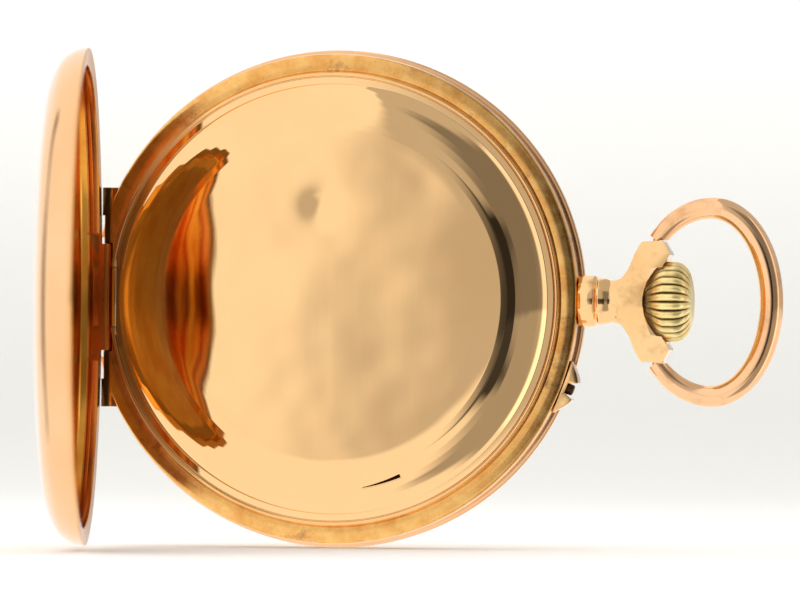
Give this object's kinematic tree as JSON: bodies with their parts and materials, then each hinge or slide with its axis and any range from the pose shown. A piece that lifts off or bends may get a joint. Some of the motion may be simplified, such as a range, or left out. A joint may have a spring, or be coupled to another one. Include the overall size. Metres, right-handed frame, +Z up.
{
  "type": "hunter pocket watch",
  "caption": "Hunter-case pocket watch with hinged back, dust and front covers, fluted winding crown inside a swinging bow, push-pin hand setting and a geared lever movement.",
  "frame": {"origin": "centre of the front cover's flat outer face, on the case axis, with the front cover shut", "axes": "+Y out of the front cover along the case axis, +X towards the pendant and bow, +Z up while the watch stands on its edge; twelve o'clock of the dial points to -Z"},
  "size_m": [0.0724, 0.0558, 0.05],
  "materials": {
    "rose_gold": "polished rose gold shell",
    "yellow_gold": "polished yellow gold, worn on the seats",
    "old_brass": "worn brass, dark in the flutes",
    "gilt": "gilt brass wheels",
    "nickel": "nickelled brass with fine stripes",
    "steel": "polished steel",
    "blued_steel": "heat-blued steel",
    "enamel": "white fired enamel",
    "crystal": "clear domed mineral glass"
  },
  "bodies": {
    "case": {"case_middle": "yellow_gold", "back_hinge_pin": "steel", "front_hinge_pin": "steel", "dust_hinge_pin": "steel", "bezel": "yellow_gold", "crystal": "crystal", "pendant": "rose_gold", "bow_screw_top": "rose_gold", "bow_screw_bottom": "rose_gold", "pin_guard": "rose_gold", "lock_spring": "blued_steel", "lift_spring": "blued_steel", "main_plate": "nickel", "barrel_bridge": "nickel", "train_bridge": "nickel", "balance_cock": "nickel", "pallet_cock": "nickel", "hairspring": "blued_steel", "click_spring": "steel", "crown_wheel_screw": "steel", "barrel_bridge_screw_1": "blued_steel", "barrel_bridge_screw_2": "blued_steel", "train_bridge_screw_1": "blued_steel", "train_bridge_screw_2": "blued_steel", "balance_cock_screw": "blued_steel", "case_screw_1": "blued_steel", "case_screw_2": "blued_steel", "dial": "enamel"},
    "back_cover": {"back_cover": "rose_gold"},
    "dust_cover": {"dust_cover": "yellow_gold"},
    "front_cover": {"front_cover": "rose_gold"},
    "bow": {"bow": "rose_gold"},
    "crown_sleeve": {"crown_sleeve": "steel"},
    "crown": {"crown": "old_brass", "winding_stem": "steel"},
    "winding_pinions": {"winding_pinion": "steel", "sliding_pinion": "steel"},
    "crown_wheel": {"crown_wheel": "steel"},
    "barrel_arbor": {"barrel_arbor": "steel", "ratchet_wheel": "steel"},
    "set_pin": {"set_pin": "steel"},
    "click": {"click": "steel"},
    "regulator": {"regulator": "steel"},
    "center_wheel": {"center_wheel": "gilt", "cannon_pinion": "steel", "minute_hand": "blued_steel"},
    "barrel": {"mainspring_barrel": "gilt", "mainspring": "blued_steel"},
    "third_wheel": {"third_wheel": "gilt"},
    "fourth_wheel": {"fourth_wheel": "gilt", "seconds_hand": "blued_steel"},
    "escape_wheel": {"escape_wheel": "steel"},
    "minute_wheel": {"minute_wheel": "gilt"},
    "hour_wheel": {"hour_wheel": "gilt", "hour_hand": "blued_steel"},
    "pallet_fork": {"pallet_fork": "steel"},
    "balance": {"balance_wheel": "gilt"}
  },
  "joints": [
    {"name": "back_cover_hinge", "type": "hinge", "parent": "case", "child": "back_cover", "pos_m": [-0.02305, -0.00835, 0], "axis": [0, 0, -1], "range_deg": [-84.5, 5]},
    {"name": "dust_cover_hinge", "type": "hinge", "parent": "case", "child": "dust_cover", "pos_m": [-0.02215, -0.00935, 0], "axis": [0, 0, -1], "range_deg": [0, 80]},
    {"name": "front_cover_hinge", "type": "hinge", "parent": "case", "child": "front_cover", "pos_m": [-0.02305, -0.0058, 0], "axis": [0, 0, 1], "range_deg": [0, 90]},
    {"name": "bow_swing", "type": "hinge", "parent": "case", "child": "bow", "pos_m": [0.0323, -0.0072, 0], "axis": [0, 0, 1], "range_deg": [-85, 85]},
    {"name": "crown_press", "type": "slide", "parent": "case", "child": "crown_sleeve", "axis": [-1, 0, 0], "range_m": [0, 0.0005]},
    {"name": "crown_turn", "type": "hinge", "parent": "crown_sleeve", "child": "crown", "pos_m": [0.03, -0.0072, 0], "axis": [1, 0, 0], "continuous": true},
    {"name": "winding_pinion_turn", "type": "hinge", "parent": "case", "child": "winding_pinions", "pos_m": [0.017, -0.0072, 0], "axis": [1, 0, 0], "continuous": true},
    {"name": "crown_wheel_turn", "type": "hinge", "parent": "case", "child": "crown_wheel", "pos_m": [0.01323, -0.00995, 0], "axis": [0, -1, 0], "continuous": true},
    {"name": "ratchet_turn", "type": "hinge", "parent": "case", "child": "barrel_arbor", "pos_m": [0.00605, -0.00995, -0.00775], "axis": [0, -1, 0], "continuous": true},
    {"name": "set_pin_press", "type": "slide", "parent": "case", "child": "set_pin", "axis": [-0.9367, 0, 0.3502], "range_m": [0, 0.0009]},
    {"name": "click_pivot", "type": "hinge", "parent": "case", "child": "click", "pos_m": [0.00864, -0.00995, -0.01625], "axis": [0, -1, 0], "range_deg": [0, 8]},
    {"name": "regulator_turn", "type": "hinge", "parent": "case", "child": "regulator", "pos_m": [-0.00914, -0.0106, 0.00144], "axis": [0, -1, 0], "range_deg": [-20, 20]},
    {"name": "center_wheel_turn", "type": "hinge", "parent": "case", "child": "center_wheel", "pos_m": [0, -0.007, 0], "axis": [0, -1, 0], "continuous": true},
    {"name": "barrel_turn", "type": "hinge", "parent": "case", "child": "barrel", "pos_m": [0.00605, -0.0078, -0.00775], "axis": [0, -1, 0], "continuous": true},
    {"name": "third_wheel_turn", "type": "hinge", "parent": "case", "child": "third_wheel", "pos_m": [0.00381, -0.00835, 0.00611], "axis": [0, -1, 0], "continuous": true},
    {"name": "fourth_wheel_turn", "type": "hinge", "parent": "case", "child": "fourth_wheel", "pos_m": [0, -0.00745, 0.0095], "axis": [0, -1, 0], "continuous": true},
    {"name": "escape_wheel_turn", "type": "hinge", "parent": "case", "child": "escape_wheel", "pos_m": [-0.0047, -0.008, 0.00779], "axis": [0, -1, 0], "continuous": true},
    {"name": "minute_wheel_turn", "type": "hinge", "parent": "case", "child": "minute_wheel", "pos_m": [-0.00262, -0.0051, -0.00184], "axis": [0, -1, 0], "continuous": true},
    {"name": "hour_wheel_turn", "type": "hinge", "parent": "case", "child": "hour_wheel", "pos_m": [0, -0.0048, 0], "axis": [0, -1, 0], "continuous": true},
    {"name": "pallet_fork_rock", "type": "hinge", "parent": "case", "child": "pallet_fork", "pos_m": [-0.00662, -0.008, 0.00505], "axis": [0, -1, 0], "range_deg": [-5, 5]},
    {"name": "balance_swing", "type": "hinge", "parent": "case", "child": "balance", "pos_m": [-0.00914, -0.0091, 0.00144], "axis": [0, -1, 0], "range_deg": [-270, 270]}
  ],
  "couplings": [
    {"joint": "winding_pinion_turn", "follows": "crown_turn", "ratio": 1},
    {"joint": "crown_wheel_turn", "follows": "crown_turn", "ratio": -0.4},
    {"joint": "ratchet_turn", "follows": "crown_turn", "ratio": 0.3},
    {"joint": "barrel_turn", "follows": "center_wheel_turn", "ratio": -0.16667},
    {"joint": "third_wheel_turn", "follows": "center_wheel_turn", "ratio": -8},
    {"joint": "fourth_wheel_turn", "follows": "center_wheel_turn", "ratio": 60},
    {"joint": "escape_wheel_turn", "follows": "center_wheel_turn", "ratio": -600},
    {"joint": "minute_wheel_turn", "follows": "center_wheel_turn", "ratio": -0.33333},
    {"joint": "hour_wheel_turn", "follows": "center_wheel_turn", "ratio": 0.083333}
  ]
}
